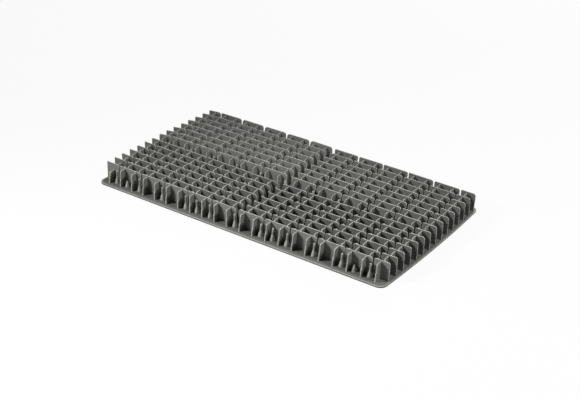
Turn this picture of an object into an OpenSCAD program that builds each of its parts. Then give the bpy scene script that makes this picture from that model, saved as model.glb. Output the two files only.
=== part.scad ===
// Plug tray with flexible fins.
// A flat plate carries fifteen rows of upright fins. Each row is a wall cut by narrow slits into
// springy panels, and each panel has ribs on its front, so the rows fence off small open cells.
// A bottle-shaped pin stands in front of every slit. The real tray is a single moulding: the
// plate, walls, ribs and pins are its forms, and they meet face to face without overlapping.
// Origin: centre of the plate's underside. X runs along the rows, Y across them, Z up.

/* [Plate] */
// Length of the plate across its middle, where the short sides bow out
plate_len = 560; // [480:5:640]
// Width of the plate
plate_wid = 310; // [290:5:340]
// Thickness of the plate
plate_t = 2.5; // [1.5:0.25:4]
// Radius of the plate's corners
corner_r = 12; // [6:1:18]
// How far each short side bows out at its middle
end_bow = 4; // [0:0.5:8]
// Bare strip in front of the first wall
front_margin = 22; // [20:0.5:26]
// Bare strip behind the last wall
back_margin = 13.6; // [10:0.2:18]
// Length of the drain slot in the floor of each cell
drain_len = 8; // [4:0.5:12]
// Width of the drain slots
drain_wid = 4; // [2:0.25:5]

/* [Walls] */
// Height of the walls above the plate
fin_h = 31; // [24:1:40]
// Thickness of the walls and ribs
fin_t = 1.8; // [1.2:0.1:2.4]
// Width of the slits that part a wall into panels
slit_w = 2.2; // [1.6:0.2:5]
// Plate left bare beyond each end of a wall
end_margin = 3.2; // [2:0.2:5]
// Radius of the round at the right-hand end of a panel's top edge
right_round = 4; // [1:0.5:6]
// Length and drop of the small cut at the left-hand end
left_cut = 1; // [0.4:0.2:4]

/* [Ribs] */
// Plate left beyond the last rib at each end, measured at the corners
rib_margin = 18.75; // [17:0.25:22]
// How far a rib stands out from the middle of its wall, at the plate
rib_foot = 14.4; // [12:0.1:15]
// The same, just under the rib's shoulder
rib_reach = 11.8; // [8:0.1:12]
// Radius of the shoulder that rounds a rib's top corner
rib_round = 3.6; // [1:0.2:5]
// How far the ribs' tops stay below the walls' tops
rib_drop = 2; // [0.5:0.5:5]
// How much lower still the front row's left-hand end rib is
end_rib_drop = 9; // [0:1:12]

/* [Pins] */
// Height of the bottle-shaped pins
pin_h = 23; // [15:0.5:28]
// Diameter of a pin's neck
pin_neck_d = 3; // [2:0.2:4]
// Diameter of a pin's foot
pin_foot_d = 6.8; // [5:0.2:8]
// Height of the low pins near the tray's ends
low_pin_h = 11; // [6:0.5:14]
// Distance of the pins in front of the middle of their wall
pin_front = 5.2; // [4.8:0.1:6]

/* [Hidden] */
row_count = 15;
rib_count = 22;
slit_count = rib_count / 2;
corner_steps = 8;
side_steps = 14;
shoulder_steps = 4;
round_steps = 32;

// The plate's half length at its corners, where the short sides don't bow out
corner_half_len = plate_len / 2 - end_bow;
half_wid = plate_wid / 2;
rib_pitch = 2 * (corner_half_len - rib_margin) / (rib_count - 1);
row_pitch = (plate_wid - front_margin - back_margin) / (row_count - 1);
middle_rib = (rib_count - 1) / 2;

// Drain slots sit between the pins of one row and the wall in front of them
drain_front = 12;
// The left-hand end ribs come up to the others' height within a few rows
end_rib_rows = 3;
// Shapes of the pins: where the foot ends, and the tip left on a low pin
foot_share = 0.5;
low_tip_d = 1.6;
// Pins in the front row that stand between two ribs of one panel, by the rib on their left
extra_tall_pins = [7, 13];
extra_low_pins = [1, 19];
// These stand a little to the left of the cell's middle, and the slit pins a little less
extra_pin_shift = -3.7;
slit_pin_shift = -1.5;

plate_colour = [0.42, 0.43, 0.40];
wall_colour = [0.46, 0.47, 0.44];
rib_colour = [0.50, 0.51, 0.48];
pin_colour = [0.55, 0.56, 0.53];

function two_digits(n) = str(n < 10 ? "0" : "", n);

// ---- Layout ----

// The tray widens towards its middle: every X is stretched by the same share at one Y
function stretch(y) = 1 + end_bow * (1 - pow(y / half_wid, 2)) / corner_half_len;
function bowed(x, y) = [x * stretch(y), y];
function row_y(row) = front_margin - half_wid + row * row_pitch;
// X of a rib in a row; half numbers give the places between ribs
function rib_x(rib, row) = (rib - middle_rib) * rib_pitch * stretch(row_y(row));
function slit_x(slit, row) = rib_x(2 * slit + 0.5, row);
function wall_end(row) = (corner_half_len - end_margin) * stretch(row_y(row));
function panel_left(panel, row) = panel == 0 ? -wall_end(row) : slit_x(panel - 1, row) + slit_w / 2;
function panel_right(panel, row) =
    panel == slit_count ? wall_end(row) : slit_x(panel, row) - slit_w / 2;
function rib_top(rib, row) =
    fin_h - rib_drop - (rib == 0 ? end_rib_drop * pow(max(0, 1 - row / end_rib_rows), 2) : 0);

// ---- Base plate ----

function corner(side_x, side_y, start) = [
    for (step = [0:corner_steps])
        let (turn = start + step * 90 / corner_steps)
        bowed(
            side_x * (corner_half_len - corner_r) + corner_r * cos(turn),
            side_y * (half_wid - corner_r) + corner_r * sin(turn)
        )
];

function short_side(side) = [
    for (step = [1:side_steps - 1])
        bowed(side * corner_half_len, side * (half_wid - corner_r) * (2 * step / side_steps - 1))
];

module plate_outline() {
    polygon(concat(
        corner(1, 1, 0),
        corner(-1, 1, 90),
        short_side(-1),
        corner(-1, -1, 180),
        corner(1, -1, 270),
        short_side(1)
    ));
}

module drain_slots() {
    for (row = [1:row_count - 1])
        for (cell = [0:rib_count - 2])
            translate([rib_x(cell + 0.5, row), row_y(row) - drain_front])
                square([drain_len, drain_wid], center = true);
}

module base_plate() {
    color(plate_colour)
        linear_extrude(plate_t)
            difference() {
                plate_outline();
                drain_slots();
            }
}

// ---- Walls ----

// Points round the top corner of a fin that reaches out to the given edge and up to the given top
function shoulder(edge, top, radius) = [
    for (step = [0:shoulder_steps])
        let (turn = step * 90 / shoulder_steps)
        [edge - radius * (1 - cos(turn)), top - radius * (1 - sin(turn))]
];

// One springy panel, drawn as seen from the front and given its thickness
module panel(left, right) {
    rotate([90, 0, 0])
        linear_extrude(fin_t, center = true)
            polygon(concat(
                [[left, 0], [right, 0]],
                shoulder(right, fin_h, right_round),
                [[left + left_cut, fin_h], [left, fin_h - left_cut]]
            ));
}

module wall_row(row) {
    color(wall_colour)
        translate([0, row_y(row), plate_t])
            for (number = [0:slit_count])
                panel(panel_left(number, row), panel_right(number, row));
}

// ---- Ribs ----

// One rib, drawn as seen from the side: it leans in from its foot to its round shoulder
module rib(top) {
    rotate([90, 0, -90])
        linear_extrude(fin_t, center = true)
            polygon(concat(
                [[fin_t / 2, 0], [rib_foot, 0]],
                shoulder(rib_reach, top, rib_round),
                [[fin_t / 2, top]]
            ));
}

module rib_row(row) {
    color(rib_colour)
        for (number = [0:rib_count - 1])
            translate([rib_x(number, row), row_y(row), plate_t])
                rib(rib_top(number, row));
}

// ---- Pins ----

module at_slit_pins() {
    for (row = [0:row_count - 1])
        for (slit = [0:slit_count - 1])
            translate([slit_x(slit, row) + slit_pin_shift, row_y(row) - pin_front, plate_t])
                children();
}

module at_front_pins(cells) {
    for (cell = cells)
        translate([rib_x(cell + 0.5, 0) + extra_pin_shift, row_y(0) - pin_front, plate_t])
            children();
}

module tall_foot() {
    cylinder(h = pin_h * foot_share, d1 = pin_foot_d, d2 = pin_neck_d, $fn = round_steps);
}

module low_pin() {
    cylinder(h = low_pin_h, d1 = pin_foot_d, d2 = low_tip_d, $fn = round_steps);
}

module tall_neck() {
    translate([0, 0, pin_h * foot_share])
        cylinder(h = pin_h * (1 - foot_share), d = pin_neck_d, $fn = round_steps);
}

module pin_feet() {
    color(pin_colour) {
        at_slit_pins() tall_foot();
        at_front_pins(extra_tall_pins) tall_foot();
        at_front_pins(extra_low_pins) low_pin();
    }
}

module pin_necks() {
    color(pin_colour) {
        at_slit_pins() tall_neck();
        at_front_pins(extra_tall_pins) tall_neck();
    }
}

base_plate();
wall_row(0);  // wall_row_01
wall_row(1);  // wall_row_02
wall_row(2);  // wall_row_03
wall_row(3);  // wall_row_04
wall_row(4);  // wall_row_05
wall_row(5);  // wall_row_06
wall_row(6);  // wall_row_07
wall_row(7);  // wall_row_08
wall_row(8);  // wall_row_09
wall_row(9);  // wall_row_10
wall_row(10);  // wall_row_11
wall_row(11);  // wall_row_12
wall_row(12);  // wall_row_13
wall_row(13);  // wall_row_14
wall_row(14);  // wall_row_15
rib_row(0);  // rib_row_01
rib_row(1);  // rib_row_02
rib_row(2);  // rib_row_03
rib_row(3);  // rib_row_04
rib_row(4);  // rib_row_05
rib_row(5);  // rib_row_06
rib_row(6);  // rib_row_07
rib_row(7);  // rib_row_08
rib_row(8);  // rib_row_09
rib_row(9);  // rib_row_10
rib_row(10);  // rib_row_11
rib_row(11);  // rib_row_12
rib_row(12);  // rib_row_13
rib_row(13);  // rib_row_14
rib_row(14);  // rib_row_15
pin_feet();
pin_necks();
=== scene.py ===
# %% [markdown]
# # A plug tray with flexible fins
# This nursery tray is one moulding of grey plastic: a thin plate, fifteen rows of upright walls
# parted by slits into springy panels, ribs on the front of each panel, and bottle-shaped pins.
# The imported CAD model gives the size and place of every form. This script takes each form's box
# from it and models the finished form inside: rounded edges, draft, small bends and the plastic.

import math
import random

import bmesh
import bpy
from mathutils import Matrix, Vector


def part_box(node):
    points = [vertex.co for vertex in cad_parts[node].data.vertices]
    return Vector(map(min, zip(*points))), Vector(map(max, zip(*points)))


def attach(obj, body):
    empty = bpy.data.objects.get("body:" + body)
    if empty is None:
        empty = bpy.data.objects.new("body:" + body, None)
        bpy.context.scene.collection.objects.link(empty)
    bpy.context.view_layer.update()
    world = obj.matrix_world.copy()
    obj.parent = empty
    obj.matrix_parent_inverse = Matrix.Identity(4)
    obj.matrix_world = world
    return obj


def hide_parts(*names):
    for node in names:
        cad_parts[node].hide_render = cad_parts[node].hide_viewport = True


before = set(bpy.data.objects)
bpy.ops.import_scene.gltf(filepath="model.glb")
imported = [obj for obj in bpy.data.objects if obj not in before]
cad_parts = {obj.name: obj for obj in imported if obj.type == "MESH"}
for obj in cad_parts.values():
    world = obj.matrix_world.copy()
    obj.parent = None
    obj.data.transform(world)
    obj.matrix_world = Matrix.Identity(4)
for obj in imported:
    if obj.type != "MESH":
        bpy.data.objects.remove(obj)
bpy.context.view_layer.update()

# %% [markdown]
# ## Where each form stands
# A CAD node here is a group of separate solids, such as the panels of one wall. Their triangles
# arrive loose, so a copy is merged first, and then every island of joined vertices is one solid.
# Its box is all that the finished form needs, which keeps the two models in step.

# %% A small unit and the boxes of a node's solids
MM = 0.001
same_place = 0.01 * MM


def solids(node):
    """Boxes (lowest corner, highest corner) of a node's solids, row by row and left to right."""
    bm = bmesh.new()
    bm.from_mesh(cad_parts[node].data)
    bmesh.ops.remove_doubles(bm, verts=bm.verts, dist=same_place)
    left_over = set(bm.verts)
    boxes = []
    while left_over:
        island, edge_of_island = set(), [left_over.pop()]
        while edge_of_island:
            vert = edge_of_island.pop()
            island.add(vert)
            near = {edge.other_vert(vert) for edge in vert.link_edges} & left_over
            left_over -= near
            edge_of_island.extend(near)
        low = Vector([min(v.co[i] for v in island) for i in range(3)])
        high = Vector([max(v.co[i] for v in island) for i in range(3)])
        boxes.append((low, high))
    bm.free()
    return sorted(boxes, key=lambda box: (round(box[0].y, 4), box[0].x))


row_names = sorted(n[-2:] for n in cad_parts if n.startswith("wall_row_"))
panels = {row: solids("wall_row_" + row) for row in row_names}
ribs = {row: solids("rib_row_" + row) for row in row_names}
wall_ys = {row: (panels[row][0][0].y + panels[row][0][1].y) / 2 for row in row_names}
front_row = row_names[0]
back_rows = [row for row in row_names if wall_ys[row] > 0]
plate_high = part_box("base_plate")[1]
floor_z = plate_high.z
top_z = panels[front_row][0][1].z
print(len(row_names), "rows,", len(back_rows), "of them in the back half")
print("each has", len(panels[front_row]), "panels and", len(ribs[front_row]), "ribs")

# %% [markdown]
# ## Camera
# A long lens from a little above, on the front right, keeps the rows nearly parallel.

# %% Camera
camera_data = bpy.data.cameras.new("Camera")
camera_data.lens = 70.5
camera_data.clip_end = 20
camera = bpy.data.objects.new("Camera", camera_data)
camera.location = (0.932, -1.387, 0.867)
camera.rotation_euler = (math.radians(62.38), math.radians(-1.78), math.radians(34.61))
bpy.context.scene.collection.objects.link(camera)
bpy.context.scene.camera = camera
bpy.context.scene.view_settings.view_transform = "Standard"
print("camera is", round(camera.location.length, 2), "m from the tray's middle")

# %% [markdown]
# ## Shader maths in plain expressions
# A material's maths is easier to read as a formula than as a web of nodes. This class wraps a
# socket and gives it the usual operators, and each one adds its Math node behind the scenes.
# Any other node comes from one method of the shader, which also has a short way to mix colours.


# %% A socket that understands + - * /
class Value:
    def __init__(self, tree, socket):
        self.tree = tree
        self.socket = socket

    def _math(self, operation, *others):
        node = self.tree.nodes.new("ShaderNodeMath")
        node.operation = operation
        for slot, item in zip(node.inputs, (self, *others)):
            connect(self.tree, slot, item)
        return Value(self.tree, node.outputs[0])

    def __add__(self, other):
        return self._math("ADD", other)

    def __radd__(self, other):
        return self._math("ADD", other)

    def __mul__(self, other):
        return self._math("MULTIPLY", other)

    def __rmul__(self, other):
        return self._math("MULTIPLY", other)

    def __sub__(self, other):
        return self._math("SUBTRACT", other)

    def __rsub__(self, other):
        flipped = self._math("MULTIPLY", -1)
        return flipped._math("ADD", other)

    def size(self):
        return self._math("ABSOLUTE")

    def root(self):
        return self._math("SQRT")

    def above(self, lowest):
        return self._math("MAXIMUM", lowest)

    def clamped(self):
        return self.above(0)._math("MINIMUM", 1)


def connect(tree, slot, item):
    if isinstance(item, Value):
        tree.links.new(item.socket, slot)
    else:
        slot.default_value = item


class Shader:
    """A material under construction: any node comes from one method."""

    def __init__(self, name):
        self.material = bpy.data.materials.new(name)
        self.material.use_nodes = True
        self.tree = self.material.node_tree
        self.surface = self.tree.nodes["Principled BSDF"]

    def node(self, kind, settings=None, output=0, **sockets):
        made = self.tree.nodes.new(kind)
        for name, value in (settings or {}).items():
            setattr(made, name, value)
        for name, item in sockets.items():
            connect(self.tree, made.inputs[name.replace("_", " ")], item)
        return Value(self.tree, made.outputs[output])

    def mix(self, share, first, second):
        """A colour between two others; each may be a value or three numbers."""
        mixer = self.tree.nodes.new("ShaderNodeMix")
        mixer.data_type = "RGBA"
        connect(self.tree, mixer.inputs["Factor"], share)
        for slot, item in (("A", first), ("B", second)):
            colour_slot = next(i for i in mixer.inputs if i.name == slot and i.type == "RGBA")
            connect(self.tree, colour_slot, item if isinstance(item, Value) else (*item, 1))
        return Value(self.tree, next(o for o in mixer.outputs if o.type == "RGBA"))

    def set(self, socket, item):
        connect(self.tree, self.surface.inputs[socket], item)


print("shader helpers ready")

# %% [markdown]
# ## The plastic
# The tray is matt, slightly warm grey polypropylene. Moulded plastic is never one flat colour:
# it has a faint cloudy mottle and a fine grain that scatters highlights. Noise in the object's
# own coordinates gives both. It could be painted instead, but noise covers every fin alike and
# needs no image. Edges, tops and some faces that catch the light are painted lighter as well, a
# painted highlight, found by a mark that the pieces' faces carry.


# %% Moulded grey plastic
def moulded_plastic(name, colour, highlight_colour, extra_highlight=None):
    """Grey plastic that turns to a lighter colour, a painted highlight, where its faces are
    marked.
    """
    shader = Shader(name)
    place = shader.node("ShaderNodeTexCoord", output="Object")
    clouds = shader.node(
        "ShaderNodeTexNoise", Vector=place, Scale=38.0, Detail=4.0, Roughness=0.6,
    )
    grain = shader.node("ShaderNodeTexNoise", Vector=place, Scale=1800.0, Detail=2.0)
    painted_highlight = shader.node("ShaderNodeAttribute", {"attribute_name": "painted_highlight"}, output="Fac")
    if extra_highlight:
        painted_highlight = painted_highlight + extra_highlight(shader, place)
    # painted highlight: the mark, mottled by the clouds, lightens the colour
    highlight_share = (painted_highlight * (clouds * 0.8 + 0.5)).clamped()
    darker = [0.86 * part for part in colour]
    plain = shader.mix(clouds, darker, colour)
    shader.set("Base Color", shader.mix(highlight_share, plain, highlight_colour))
    shader.set("Roughness", 0.5 + 0.12 * clouds)
    bump = shader.node("ShaderNodeBump", Strength=0.12, Distance=0.2 * MM, Height=grain)
    shader.set("Normal", bump)
    return shader.material


GREY = (0.193, 0.196, 0.182)
# the lighter colour of the painted highlight
HIGHLIGHT = (0.62, 0.62, 0.58)
fin_plastic = moulded_plastic("fin_plastic", GREY, HIGHLIGHT)
print("material:", fin_plastic.name)

# %% [markdown]
# ## A painted highlight on the plate's rim
# The outermost strip of the plate's top is painted lighter all the way round, corners included,
# as a painted highlight. It is a smooth mask and not a row of faces, so the plate needs no extra
# cuts. How far out a place lies is measured from where the corners' rounds start, as a circle's
# radius at the corners, and the bow of the short sides is evened out first.

# %% Plate plastic with a lighter rim
end_bow = 4.0 * MM
rim_strip = 2.6 * MM
rim_corner = 14.0 * MM
# how much lighter the rim strip is painted, a painted highlight
rim_highlight = 0.42
mask_edge, below_top = 0.25 * MM, 0.3 * MM


def rim(shader, place):
    """A share of painted highlight on the outermost strip of the plate's top, none elsewhere."""
    x, y, z = (
        shader.node("ShaderNodeSeparateXYZ", output=axis, Vector=place).size() for axis in "XYZ"
    )
    bow = y * y * (end_bow / plate_high.y ** 2)
    in_x = (x + bow - (plate_high.x - rim_corner)).above(0)
    in_y = (y - (plate_high.y - rim_corner)).above(0)
    reach = (in_x * in_x + in_y * in_y).root()
    on_top = ((z - (floor_z - below_top)) * (1 / mask_edge)).clamped()
    in_strip = ((reach - (rim_corner - rim_strip)) * (1 / mask_edge)).clamped()
    return in_strip * (on_top * rim_highlight)


plate_plastic = moulded_plastic("plate_plastic", GREY, HIGHLIGHT, extra_highlight=rim)
print("material:", plate_plastic.name)

# %% [markdown]
# ## From a bmesh to a piece
# Every finished form ends the same way: its faces point outwards, it gets its plastic, it takes
# the place of the CAD node that it dresses, and it rides on the tray's one body.


# %% Hand over a finished mesh
def finish_piece(bm, name, plastic, slot, *nodes):
    bmesh.ops.recalc_face_normals(bm, faces=bm.faces)
    mesh = bpy.data.meshes.new(name)
    bm.to_mesh(mesh)
    bm.free()
    mesh.materials.append(plastic)
    piece = bpy.data.objects.new(name, mesh)
    bpy.context.scene.collection.objects.link(piece)
    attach(piece, "root")
    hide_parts(*nodes)


def block(bm, low, high):
    """A box between two corners."""
    size = high - low
    place = Matrix.Translation((low + high) / 2) @ Matrix.Diagonal((*size, 1))
    bmesh.ops.create_cube(bm, size=1, matrix=place)


def rounded(bm, edges, width, segments):
    """Bevels some edges and returns the faces that this adds."""
    return bmesh.ops.bevel(
        bm, geom=edges, offset=width, offset_type="OFFSET", segments=segments,
        affect="EDGES", profile=0.5, material=-1,
    )["faces"]


print("piece helpers ready")

# %% [markdown]
# ## How the soft fins lean
# Thin fins of soft plastic never stand quite true. On this tray they splay: in each quarter of
# the tray the tops lean outwards, away from the tray's middle, and the lean fades out towards
# the outer rows and the ends. It is like combed grass, so it is written as one smooth rule for
# each quarter, and not fin by fin. A small chance bend of every panel comes on top. Ribs lean
# and bend with their panel, so nothing comes apart, and pins lean with their wall. All of it
# grows from nothing at the foot.

# %% Lean of each quarter, and the share of it at each height
fin_height = top_z - floor_z
lean_curve = 1.3
quarter_leans = {
    # quarter: sideways lean and forward or backward lean, each as
    # (most at the tops in mm, how late it fades along X, how late it fades along Y)
    ("left", "front"): ((5.0, 3, 1.5), (5.5, 1, 3)),
    ("right", "front"): ((6.0, 2, 3), (5.5, 2.6, 2.2)),
    ("left", "back"): ((7.0, 10, 12), (7.5, 14, 20)),
    ("right", "back"): ((4.5, 6, 2), (6.0, 1.2, 14)),
}


def lean_at(x, wall_y):
    """How far the tops lean at one place of a row, sideways and to the front or back."""
    quarter = ("left" if x < 0 else "right", "front" if wall_y < 0 else "back")
    out_x, out_y = abs(x) / plate_high.x, abs(wall_y) / plate_high.y
    sideways, forward_or_back = [
        most * MM * (1 - out_x ** late_x) * (1 - out_y ** late_y)
        for most, late_x, late_y in quarter_leans[quarter]
    ]
    return math.copysign(sideways, x), math.copysign(forward_or_back, wall_y)


def share_at(z):
    """How much of the lean is reached at a height: none at the foot, all of it at the tops."""
    return max(0.0, (z - floor_z) / fin_height) ** lean_curve


print("lean at the tops near the middle, mm:", [round(v / MM, 1) for v in lean_at(-0.02, -0.02)])

# %% One chance bend for each panel
dice = random.Random(7)
# how much the bends differ in mm, and the twists in radians
chance_bend, chance_twist = 0.3, 0.012


def any_bend():
    """Chance lean of a panel's top along X and along Y, and its twist in radians."""
    along_x, along_y = dice.gauss(0, chance_bend) * MM, dice.gauss(0, chance_bend) * MM
    return along_x, along_y, dice.gauss(0, chance_twist)


bends = {
    (row, number): any_bend() for row in row_names for number in range(len(panels[row]))
}


def bend(bm, row, number):
    """Leans and twists vertices together with the panel that they belong to."""
    chance_x, chance_y, twist = bends[row, number]
    low, high = panels[row][number]
    centre = (low.x + high.x) / 2
    for vert in bm.verts:
        share = share_at(vert.co.z)
        sideways, forward_or_back = lean_at(vert.co.x, wall_ys[row])
        vert.co.y += (forward_or_back + chance_y + twist * (vert.co.x - centre)) * share
        vert.co.x += (sideways + chance_x) * share


print(len(bends), "panels bend a little")

# %% [markdown]
# ## Fins
# Walls and ribs are both thin fins. Their outlines could be drawn and extruded, but a block takes
# its size straight from the CAD model's box. Bevelling its top corners gives the outline, a draft
# thins it towards the top as a mould needs, and a fine bevel rounds all the edges in the open.
# That bevel also marks its faces, so a painted highlight lightens the plastic there. The feet
# keep their sharp edges, because they stand on the plate.

# %% Outline, draft and rounded edges of a fin
fin_foot, fin_tip = 1.8 * MM, 1.45 * MM
fin_edge = 0.3 * MM


def edge_at(bm, *marks):
    """Edges whose two vertices all share the given places, as (axis, value) marks."""
    return [
        edge for edge in bm.edges
        if all(abs(v.co[axis] - value) < same_place for v in edge.verts for axis, value in marks)
    ]


def draft(bm, axis, middle):
    """Sets a fin's thickness along one axis, thinner from its foot to its tip."""
    for vert in bm.verts:
        share = (vert.co.z - floor_z) / fin_height
        side = 1 if vert.co[axis] > middle else -1
        vert.co[axis] = middle + side * (fin_foot + (fin_tip - fin_foot) * share) / 2


def off_the_foot(edge, foot_z):
    return max(v.co.z for v in edge.verts) > foot_z + same_place


def round_open_edges(bm, is_open, front_highlight):
    """A fine bevel on the sharp edges that the test calls open, marked for a painted highlight.

    Upward faces are marked too, as painted light from above, and faces to the front as much as
    asked.
    """
    painted_highlight = bm.faces.layers.float.new("painted_highlight")
    sharp = [e for e in bm.edges if e.calc_face_angle(0) > 0.6 and is_open(e)]
    # painted highlight on the bevel, on upward faces and, by the given share, on faces to the
    # front
    for face in rounded(bm, sharp, fin_edge, 2):
        face[painted_highlight] = 1.0
    for face in bm.faces:
        face.normal_update()
        if face.normal.z > 0.5:
            face[painted_highlight] = 1.0
        elif face.normal.y < -0.5 and face[painted_highlight] == 0:
            face[painted_highlight] = front_highlight


def dim_highlight(bm, share):
    """Scales the painted highlight marks that an earlier bevel left, so the piece looks less lit.
    """
    painted_highlight = bm.faces.layers.float["painted_highlight"]
    for face in bm.faces:
        face[painted_highlight] *= share


def gather(whole, part):
    """Adds one small bmesh to a bigger one."""
    mesh = bpy.data.meshes.new("part")
    part.to_mesh(mesh)
    part.free()
    whole.from_mesh(mesh)
    bpy.data.meshes.remove(mesh)


print("fin helpers ready")

# %% [markdown]
# ## Walls
# Slits part every wall into springy panels. One long block could be cut at the slits, but with a
# block for each panel, every one can bend on its own. A panel's right-hand top corner is well
# rounded and its left-hand one is nearly sharp, except on four panels of each row in the back
# left quarter, where it is rounded even more. The corners differ a little from panel to panel.
# The last rows at the back get a weaker painted highlight than the others, which paints them
# darker, and the faces of the first row get a little painted highlight of their own.

# %% Walls
# least and most radius of the corners in mm
right_rounds, sharp_left_rounds, big_left_rounds = (3.2, 4.4), (0.7, 1.8), (5.0, 7.0)
big_left_panels = range(2, 6)
last_rows = [row for row in row_names if wall_ys[row] > 90 * MM]
# share of the painted highlight that the last rows keep, a painted shade at the back
last_rows_highlight = 0.72
# painted highlight on the first row's front faces
front_row_face_highlight = 0.15


def left_corner(row, number):
    """Round and number of facets of a panel's left-hand top corner."""
    if row in back_rows and number in big_left_panels:
        return dice.uniform(*big_left_rounds) * MM, 3
    return dice.uniform(*sharp_left_rounds) * MM, 1


def make_panel(low, high, left_round, left_facets, front_highlight):
    bm = bmesh.new()
    block(bm, low, high)
    rounded(bm, edge_at(bm, (0, high.x), (2, high.z)), dice.uniform(*right_rounds) * MM, 4)
    rounded(bm, edge_at(bm, (0, low.x), (2, high.z)), left_round, left_facets)
    draft(bm, 1, (low.y + high.y) / 2)
    round_open_edges(bm, lambda edge: off_the_foot(edge, low.z), front_highlight)
    return bm


for row in row_names:
    wall = bmesh.new()
    front_highlight = front_row_face_highlight if row == front_row else 0.0
    for number, (low, high) in enumerate(panels[row]):
        panel = make_panel(low, high, *left_corner(row, number), front_highlight)
        bend(panel, row, number)
        gather(wall, panel)
    # painted shade: the last rows keep less of their painted highlight
    if row in last_rows:
        dim_highlight(wall, last_rows_highlight)
    finish_piece(wall, "walls_" + row, fin_plastic, "walls", "wall_row_" + row)
print("walls:", len(row_names))

# %% [markdown]
# ## Ribs
# The ribs stand on the front of the panels like the teeth of a comb, and part cell from cell.
# Seen from the side, a rib leans in from its foot, has a small step a little under half way up,
# and ends in a round shoulder. Cuts at the step's two heights give the vertices that are then
# moved to the rib's outline, and a bevel rounds the shoulder. The edges at the wall stay sharp.
# The ribs' narrow fronts get a painted highlight as well as their edges, and in the back half of
# the tray the ribs' painted highlight is weaker than in front, which paints them darker.

# %% Ribs
step_low, step_high = 0.41, 0.49
rib_foot_out, rib_top_out = 14.4 * MM, 11.8 * MM
lean_in_below, lean_in_above = 0.8 * MM, 0.5 * MM
shoulder_round = 3.6 * MM
sharp_at_wall = 1.5 * MM
# painted highlight on the ribs' narrow fronts
rib_front_highlight = 0.7
# share of the painted highlight that the back ribs keep, a painted shade
back_ribs_highlight = 0.68


def reach_at(height):
    """How far a rib stands out from its wall's middle, at a share of its own height."""
    if height < 0.5 * (step_low + step_high):
        return rib_foot_out - lean_in_below * height / step_low
    return rib_top_out + lean_in_above * (1 - height) / (1 - step_high)


def panel_of(row, x):
    """The number of the panel that a rib at this X belongs to."""
    spans = panels[row]
    return next(n for n in range(len(spans)) if spans[n][0].x < x < spans[n][1].x)


def make_rib(low, high, wall_y):
    bm = bmesh.new()
    block(bm, low, high)
    height = high.z - low.z
    for share in (step_low, step_high):
        geometry = bm.verts[:] + bm.edges[:] + bm.faces[:]
        level = low.z + share * height
        bmesh.ops.bisect_plane(bm, geom=geometry, plane_co=(0, 0, level), plane_no=(0, 0, 1))
    for vert in bm.verts:
        if vert.co.y < (low.y + high.y) / 2:
            vert.co.y = wall_y - reach_at((vert.co.z - low.z) / height)
    rounded(bm, edge_at(bm, (1, wall_y - rib_top_out), (2, high.z)), shoulder_round, 3)
    draft(bm, 0, (low.x + high.x) / 2)

    def in_the_open(edge):
        off_the_wall = min(v.co.y for v in edge.verts) < wall_y - sharp_at_wall
        return off_the_foot(edge, low.z) and off_the_wall

    round_open_edges(bm, in_the_open, rib_front_highlight)
    return bm


for row in row_names:
    comb = bmesh.new()
    for low, high in ribs[row]:
        rib = make_rib(low, high, wall_ys[row])
        bend(rib, row, panel_of(row, (low.x + high.x) / 2))
        gather(comb, rib)
    if row in back_rows:
        dim_highlight(comb, back_ribs_highlight)
    finish_piece(comb, "ribs_" + row, fin_plastic, "ribs", "rib_row_" + row)
print("rib rows:", len(row_names))

# %% [markdown]
# ## Pins
# A round pin stands in front of every slit. The tall pins are bottles, with a bell-shaped foot
# and a thin neck; the low ones near the ends are bulging cones with a blunt tip. A cylinder could
# be squeezed ring by ring, but a spin takes half of the outline just as it is drawn. The feet
# flare out a little wider than the plain cones of the CAD model.

# %% Outlines of the pins
pin_sides = 12
foot_flare = 1.25


def spun(outline):
    """A closed solid turned from (radius, height) pairs that start and end on the axis."""
    bm = bmesh.new()
    points = [bm.verts.new((radius, 0, height)) for radius, height in outline]
    edges = [bm.edges.new(pair) for pair in zip(points, points[1:])]
    bmesh.ops.spin(
        bm, geom=points + edges, cent=(0, 0, 0), axis=(0, 0, 1),
        angle=2 * math.pi, steps=pin_sides, use_merge=True,
    )
    bmesh.ops.remove_doubles(bm, verts=bm.verts, dist=same_place)
    return bm


def bottle(foot, neck, height):
    return spun([
        (0, 0), (foot, 0), (0.98 * foot, 0.09 * height), (0.76 * foot, 0.27 * height),
        (1.15 * neck, 0.44 * height), (0.95 * neck, 0.56 * height), (1.05 * neck, 0.97 * height),
        (0.6 * neck, height), (0, height),
    ])


def cone(foot, height):
    return spun([
        (0, 0), (foot, 0), (0.95 * foot, 0.12 * height), (0.75 * foot, 0.5 * height),
        (0.4 * foot, 0.88 * height), (0.2 * foot, height), (0, height),
    ])


print("a pin has", pin_sides, "sides")

# %% Pins
feet = solids("pin_feet")
necks = solids("pin_necks")
# how much lighter the pins are painted, a painted highlight
pin_highlight = 0.65


def neck_on(foot_low):
    """The box of the neck that stands on a foot, or None on a low pin."""
    near = 4 * MM
    return next((
        box for box in necks
        if abs(box[0].x - foot_low.x) < near and abs(box[0].y - foot_low.y) < near
    ), None)


def lean_pin(pin, spot):
    wall_y = min(y for y in wall_ys.values() if y > spot.y)
    sideways, forward_or_back = lean_at(spot.x, wall_y)
    for vert in pin.verts:
        share = share_at(vert.co.z)
        vert.co.x += sideways * share
        vert.co.y += forward_or_back * share


all_pins = bmesh.new()
for low, high in feet:
    foot = foot_flare * (high.x - low.x) / 2
    neck = neck_on(low)
    if neck:
        neck_low, neck_high = neck
        pin = bottle(foot, (neck_high.x - neck_low.x) / 2, neck_high.z - low.z)
    else:
        pin = cone(foot, high.z - low.z)
    spot = Vector(((low.x + high.x) / 2, (low.y + high.y) / 2, low.z))
    bmesh.ops.translate(pin, vec=spot, verts=pin.verts)
    lean_pin(pin, spot)
    gather(all_pins, pin)
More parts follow.
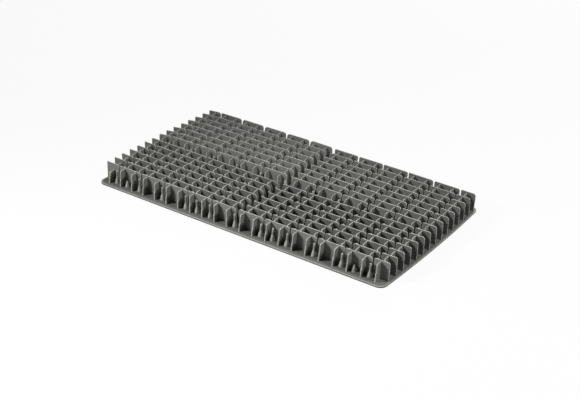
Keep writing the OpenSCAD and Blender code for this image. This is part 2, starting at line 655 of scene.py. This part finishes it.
# every pin is painted lighter all over, a painted highlight
painted_highlight = all_pins.faces.layers.float.new("painted_highlight")
for face in all_pins.faces:
    face[painted_highlight] = pin_highlight
finish_piece(all_pins, "pins", fin_plastic, "pins", "pin_feet", "pin_necks")
print("pins:", len(feet))

# %% [markdown]
# ## Base plate
# A thin plate carries all the fins and has a drain slot in nearly every cell. Booleans could cut
# the slots, but with hundreds of them plain cuts by planes are simpler. So the plate begins as a
# flat sheet, and planes cut it along both sides of every slot, which makes each slot a face of
# its own, and those faces are deleted. Then the corners are rounded, the sheet is stretched to
# its bowed ends and thickened, its rim is rounded all the way round, and a groove is let into the
# side by an inset of the side's faces.

# %% Flat sheet with its slots and round corners
corner_radius = 12.0 * MM
slot_size = Vector((8.0 * MM, 4.0 * MM))
slot_in_front = 12.0 * MM
half_width = plate_high.y
half_length = plate_high.x - end_bow


def stretch(y):
    """The tray widens towards its middle: the factor on X at this Y."""
    return 1 + end_bow / half_length * (1 - (y / half_width) ** 2)


front_stretch = stretch(wall_ys[front_row])
rib_xs = [(low.x + high.x) / 2 / front_stretch for low, high in ribs[front_row]]
slot_xs = [(a + b) / 2 for a, b in zip(rib_xs, rib_xs[1:])]
slot_ys = [wall_ys[row] - slot_in_front for row in row_names[1:]]

plate = bmesh.new()
bmesh.ops.create_grid(
    plate, x_segments=1, y_segments=1, size=1,
    matrix=Matrix.Diagonal((half_length, half_width, 1, 1)),
)
cuts = [((x + side * slot_size.x / 2, 0, 0), (1, 0, 0)) for x in slot_xs for side in (-1, 1)]
cuts += [((0, y + side * slot_size.y / 2, 0), (0, 1, 0)) for y in slot_ys for side in (-1, 1)]
for point, normal in cuts:
    geometry = plate.verts[:] + plate.edges[:] + plate.faces[:]
    bmesh.ops.bisect_plane(plate, geom=geometry, plane_co=point, plane_no=normal)


def near_any(value, places):
    return min(abs(value - place) for place in places) < 0.2 * MM


def is_slot(face):
    middle = face.calc_center_median()
    return near_any(middle.x, slot_xs) and near_any(middle.y, slot_ys)


slots = [face for face in plate.faces if is_slot(face)]
bmesh.ops.delete(plate, geom=slots, context="FACES")
corners = [
    v for v in plate.verts
    if abs(v.co.x) > half_length - MM and abs(v.co.y) > half_width - MM
]
bmesh.ops.bevel(
    plate, geom=corners, offset=corner_radius, segments=8, affect="VERTICES",
    profile=0.5, material=-1,
)
for vert in plate.verts:
    vert.co.x *= stretch(vert.co.y)
print("drain slots:", len(slots), "rounded corners:", len(corners))

# %% Thicken the plate and round its rim
top_round, low_chamfer = 0.4 * MM, 0.2 * MM
# how much lighter the rim's rounded top edge is painted, a painted highlight
top_round_highlight = 0.5
past_all_slots = 0.94


def from_above(vert):
    """A vertex's place seen from above, rounded so that two of them can be compared."""
    return tuple(round(c, 6) for c in vert.co.xy)


def on_outline(edge):
    """Whether an edge of the flat sheet lies on its outline and not round a drain slot."""
    far_out = max(abs(v.co.x) / (half_length * stretch(v.co.y)) for v in edge.verts)
    near_side = max(abs(v.co.y) for v in edge.verts) > half_width - corner_radius
    return edge.is_boundary and (far_out > past_all_slots or near_side)


outline = {from_above(v) for edge in plate.edges if on_outline(edge) for v in edge.verts}
raised = bmesh.ops.extrude_face_region(plate, geom=plate.faces[:], use_keep_orig=True)["geom"]
raised_verts = [part for part in raised if isinstance(part, bmesh.types.BMVert)]
bmesh.ops.translate(plate, vec=(0, 0, floor_z), verts=raised_verts)


def rim_edges(level):
    """Sharp edges of the thick plate's outline at its top or its underside."""
    return [
        edge for edge in plate.edges
        if all(from_above(v) in outline and abs(v.co.z - level) < same_place for v in edge.verts)
        and edge.calc_face_angle(0) > 1
    ]


painted_highlight = plate.faces.layers.float.new("painted_highlight")
# the rim's rounded top edge is painted lighter, a painted highlight
for face in rounded(plate, rim_edges(floor_z), top_round, 2):
    face[painted_highlight] = top_round_highlight
rounded(plate, rim_edges(0), low_chamfer, 1)
bmesh.ops.recalc_face_normals(plate, faces=plate.faces)
print("points on the outline:", len(outline))

# %% Groove in the plate's side
groove_low = 0.8 * MM
groove_depth = 1.6 * MM
groove_lip = 0.05 * MM


def side_faces():
    """Upright faces on the plate's outline."""
    return [
        face for face in plate.faces
        if abs(face.normal.z) < 0.1 and all(from_above(v) in outline for v in face.verts)
    ]


side = side_faces()
side_geometry = {part for face in side for part in (face, *face.edges, *face.verts)}
bmesh.ops.bisect_plane(
    plate, geom=list(side_geometry), plane_co=(0, 0, groove_low), plane_no=(0, 0, 1),
)
upper_side = [face for face in side_faces() if face.calc_center_median().z > groove_low]
bmesh.ops.inset_region(
    plate, faces=upper_side, thickness=groove_lip, depth=-groove_depth, use_even_offset=True,
)
print("faces along the groove:", len(upper_side))
finish_piece(plate, "plate", plate_plastic, "plate", "base_plate")
print("plate finished")

# %% [markdown]
# ## Light and floor
# Two soft lights of medium size shape the fins: one at the front left lights the walls' faces,
# and one at the right lights the ribs' sides and the walls' ends. The first is aimed a little in
# front of the tray and has a narrow beam, so it fades towards the back rows. A third light, far
# behind, keeps the walls' backs from going black. Little light comes from all round, so the
# corners between the fins fall dark. The floor looks white, but it throws back only as much
# light as a grey table, and it keeps the tray's soft shadow.


# %% Soft lights
def soft_light(name, place, target, size, watts, spread=180):
    """A round lamp in metres, watts and degrees of spread, turned to its target."""
    lamp = bpy.data.lights.new(name, "AREA")
    lamp.shape = "DISK"
    lamp.size = size
    lamp.energy = watts
    lamp.spread = math.radians(spread)
    holder = bpy.data.objects.new(name, lamp)
    holder.location = place
    holder.rotation_euler = (Vector(target) - Vector(place)).to_track_quat("-Z", "Y").to_euler()
    bpy.context.scene.collection.objects.link(holder)


tray_middle = (0, 0, 0)
soft_light(
    "front_left_light", (-1.0, -1.19, 0.88), (0.08, -0.34, 0), size=0.4, watts=2.8, spread=52,
)
soft_light("right_light", (2.0, -0.08, 1.5), tray_middle, size=0.5, watts=36)
soft_light("back_light", (-0.5, 2.75, 0.8), tray_middle, size=1.2, watts=32)

# %% Surroundings
world = bpy.data.worlds.new("surroundings")
world.use_nodes = True
sky = world.node_tree.nodes["Background"]
sky.inputs["Color"].default_value = (1, 1, 1, 1)
sky.inputs["Strength"].default_value = 0.03
bpy.context.scene.world = world
print("surroundings at", round(sky.inputs["Strength"].default_value, 3))

# %% Floor
floor_half = 6
seen_colour, lighting_colour = (0.95, 0.95, 0.95), (0.13, 0.13, 0.13)
white_share = 0.93
floor_mesh = bpy.data.meshes.new("floor")
floor_bm = bmesh.new()
bmesh.ops.create_grid(floor_bm, x_segments=1, y_segments=1, size=floor_half)
floor_bm.to_mesh(floor_mesh)
floor_bm.free()
ground = bpy.data.objects.new("floor", floor_mesh)
bpy.context.scene.collection.objects.link(ground)

floor_shader = Shader("floor_white")
camera_ray, glossy_ray, transmission_ray = (
    floor_shader.node("ShaderNodeLightPath", output=kind)
    for kind in ("Is Camera Ray", "Is Glossy Ray", "Is Transmission Ray")
)
seen = (camera_ray + glossy_ray + transmission_ray).clamped()
floor_shader.set("Base Color", floor_shader.mix(seen, lighting_colour, seen_colour))
floor_shader.set("Roughness", 0.9)
glow = floor_shader.node("ShaderNodeEmission", Color=(1, 1, 1, 1), Strength=1.0)
blend = floor_shader.node("ShaderNodeMixShader", Fac=seen * white_share)
blend_inputs = blend.socket.node.inputs
output_inputs = floor_shader.tree.nodes["Material Output"].inputs
floor_shader.tree.links.new(floor_shader.surface.outputs[0], blend_inputs[1])
floor_shader.tree.links.new(glow.socket, blend_inputs[2])
floor_shader.tree.links.new(blend.socket, output_inputs["Surface"])
floor_mesh.materials.append(floor_shader.material)
print("floor laid")
